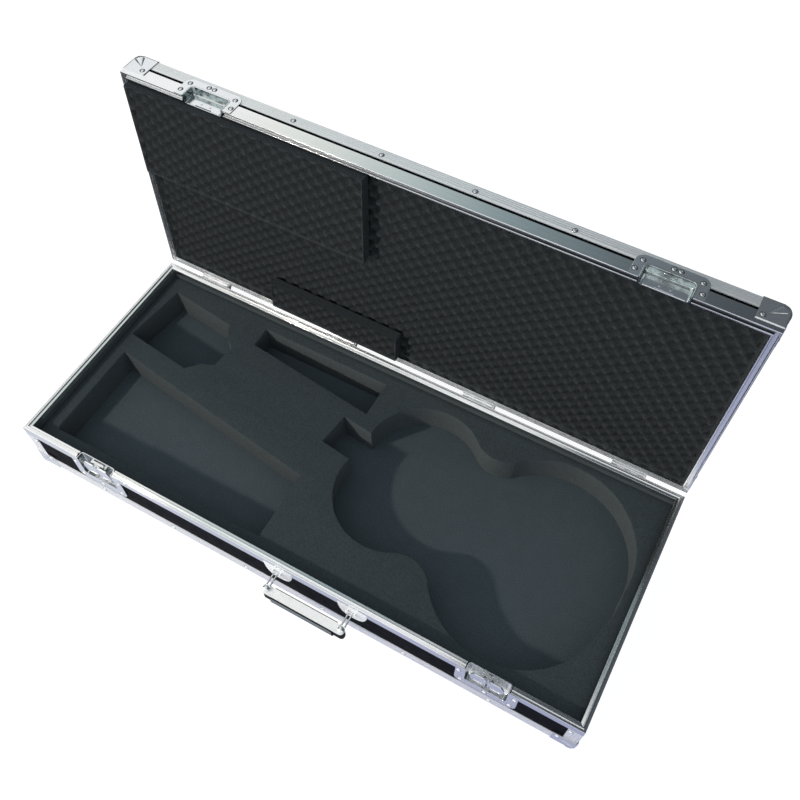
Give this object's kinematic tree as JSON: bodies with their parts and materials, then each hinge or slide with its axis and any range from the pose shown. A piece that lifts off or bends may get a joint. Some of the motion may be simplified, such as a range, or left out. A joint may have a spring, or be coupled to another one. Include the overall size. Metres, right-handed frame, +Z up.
{
  "type": "classical guitar case",
  "caption": "Aluminium-framed flight case for a classical guitar: hinged lid, recessed butterfly latches, folding handle, ball corners and foam cut to the instrument.",
  "frame": {"origin": "centre of the bottom board's underside, midway along and across the case", "axes": "+X along the case to the right as seen from the front, -Y out of the front with the latches and handle, +Z up"},
  "size_m": [1.088, 0.5594, 0.5642],
  "materials": {
    "laminated_board": "birch plywood faced with fine-grained black laminate",
    "anodised_aluminium": "extruded, satin anodised, fine lengthwise lines",
    "bright_steel": "pressed steel, bright zinc plated",
    "foam_base": "closed-cell foam with a fine nap, dark slate",
    "foam_lid": "open-cell egg-crate foam, charcoal",
    "grip_rubber": "moulded, matt black"
  },
  "bodies": {
    "base": {"bottom_board": "laminated_board", "front_board": "laminated_board", "back_board": "laminated_board", "left_board": "laminated_board", "right_board": "laminated_board", "front_rim": "anodised_aluminium", "back_rim": "anodised_aluminium", "left_rim": "anodised_aluminium", "right_rim": "anodised_aluminium", "front_bottom_edge": "anodised_aluminium", "back_bottom_edge": "anodised_aluminium", "left_bottom_edge": "anodised_aluminium", "right_bottom_edge": "anodised_aluminium", "corner_uprights": "anodised_aluminium", "base_ball_corners": "bright_steel", "base_rivets": "bright_steel", "foam_floor": "foam_base", "foam_insert": "foam_base", "hinge_base_leaves": "bright_steel", "hinge_pins": "bright_steel", "latch_dish_left": "bright_steel", "latch_dish_right": "bright_steel", "handle_mounts": "bright_steel"},
    "lid": {"lid_top_board": "laminated_board", "lid_front_board": "laminated_board", "lid_back_board": "laminated_board", "lid_left_board": "laminated_board", "lid_right_board": "laminated_board", "lid_front_rim": "anodised_aluminium", "lid_back_rim": "anodised_aluminium", "lid_left_rim": "anodised_aluminium", "lid_right_rim": "anodised_aluminium", "lid_front_edge": "anodised_aluminium", "lid_back_edge": "anodised_aluminium", "lid_left_edge": "anodised_aluminium", "lid_right_edge": "anodised_aluminium", "lid_ball_corners": "bright_steel", "lid_rivets": "bright_steel", "lid_foam_sheet": "foam_lid", "lid_block_neck": "foam_lid", "lid_block_slot": "foam_lid", "hinge_lid_leaves": "bright_steel", "keeper_dish_left": "bright_steel", "keeper_dish_right": "bright_steel", "keeper_catch_left": "bright_steel", "keeper_catch_right": "bright_steel"},
    "handle": {"handle_arms": "bright_steel", "handle_grip": "anodised_aluminium", "handle_rubber": "grip_rubber", "handle_trim": "anodised_aluminium"},
    "spindle_left": {"latch_spindle_left": "bright_steel"},
    "hook_left": {"latch_hook_left": "bright_steel"},
    "wing_left_of_left": {"wing_left_of_left": "bright_steel"},
    "wing_right_of_left": {"wing_right_of_left": "bright_steel"},
    "spindle_right": {"latch_spindle_right": "bright_steel"},
    "hook_right": {"latch_hook_right": "bright_steel"},
    "wing_left_of_right": {"wing_left_of_right": "bright_steel"},
    "wing_right_of_right": {"wing_right_of_right": "bright_steel"}
  },
  "joints": [
    {"name": "lid_hinge", "type": "hinge", "parent": "base", "child": "lid", "pos_m": [0, 0.2246, 0.11335], "axis": [1, 0, 0], "range_deg": [0, 92]},
    {"name": "handle_swing", "type": "hinge", "parent": "base", "child": "handle", "pos_m": [0.069, -0.2245, 0.092], "axis": [1, 0, 0], "range_deg": [0, 40]},
    {"name": "spindle_turn_left", "type": "hinge", "parent": "base", "child": "spindle_left", "pos_m": [-0.38, -0.2142, 0.091], "axis": [0, -1, 0], "range_deg": [0, 180]},
    {"name": "hook_slide_left", "type": "slide", "parent": "base", "child": "hook_left", "axis": [0, 0, 1], "range_m": [0, 0.012]},
    {"name": "wing_fold_left_of_left", "type": "hinge", "parent": "spindle_left", "child": "wing_left_of_left", "pos_m": [-0.383, -0.2179, 0.091], "axis": [0, 0, 1], "range_deg": [0, 90]},
    {"name": "wing_fold_right_of_left", "type": "hinge", "parent": "spindle_left", "child": "wing_right_of_left", "pos_m": [-0.377, -0.2179, 0.091], "axis": [0, 0, -1], "range_deg": [0, 90]},
    {"name": "spindle_turn_right", "type": "hinge", "parent": "base", "child": "spindle_right", "pos_m": [0.38, -0.2142, 0.091], "axis": [0, -1, 0], "range_deg": [0, 180]},
    {"name": "hook_slide_right", "type": "slide", "parent": "base", "child": "hook_right", "axis": [0, 0, 1], "range_m": [0, 0.012]},
    {"name": "wing_fold_left_of_right", "type": "hinge", "parent": "spindle_right", "child": "wing_left_of_right", "pos_m": [0.377, -0.2179, 0.091], "axis": [0, 0, 1], "range_deg": [0, 90]},
    {"name": "wing_fold_right_of_right", "type": "hinge", "parent": "spindle_right", "child": "wing_right_of_right", "pos_m": [0.383, -0.2179, 0.091], "axis": [0, 0, -1], "range_deg": [0, 90]}
  ],
  "couplings": [
    {"joint": "spindle_turn_left", "follows": "hook_slide_left", "rad_per_m": 261.8},
    {"joint": "spindle_turn_right", "follows": "hook_slide_right", "rad_per_m": 261.8}
  ]
}
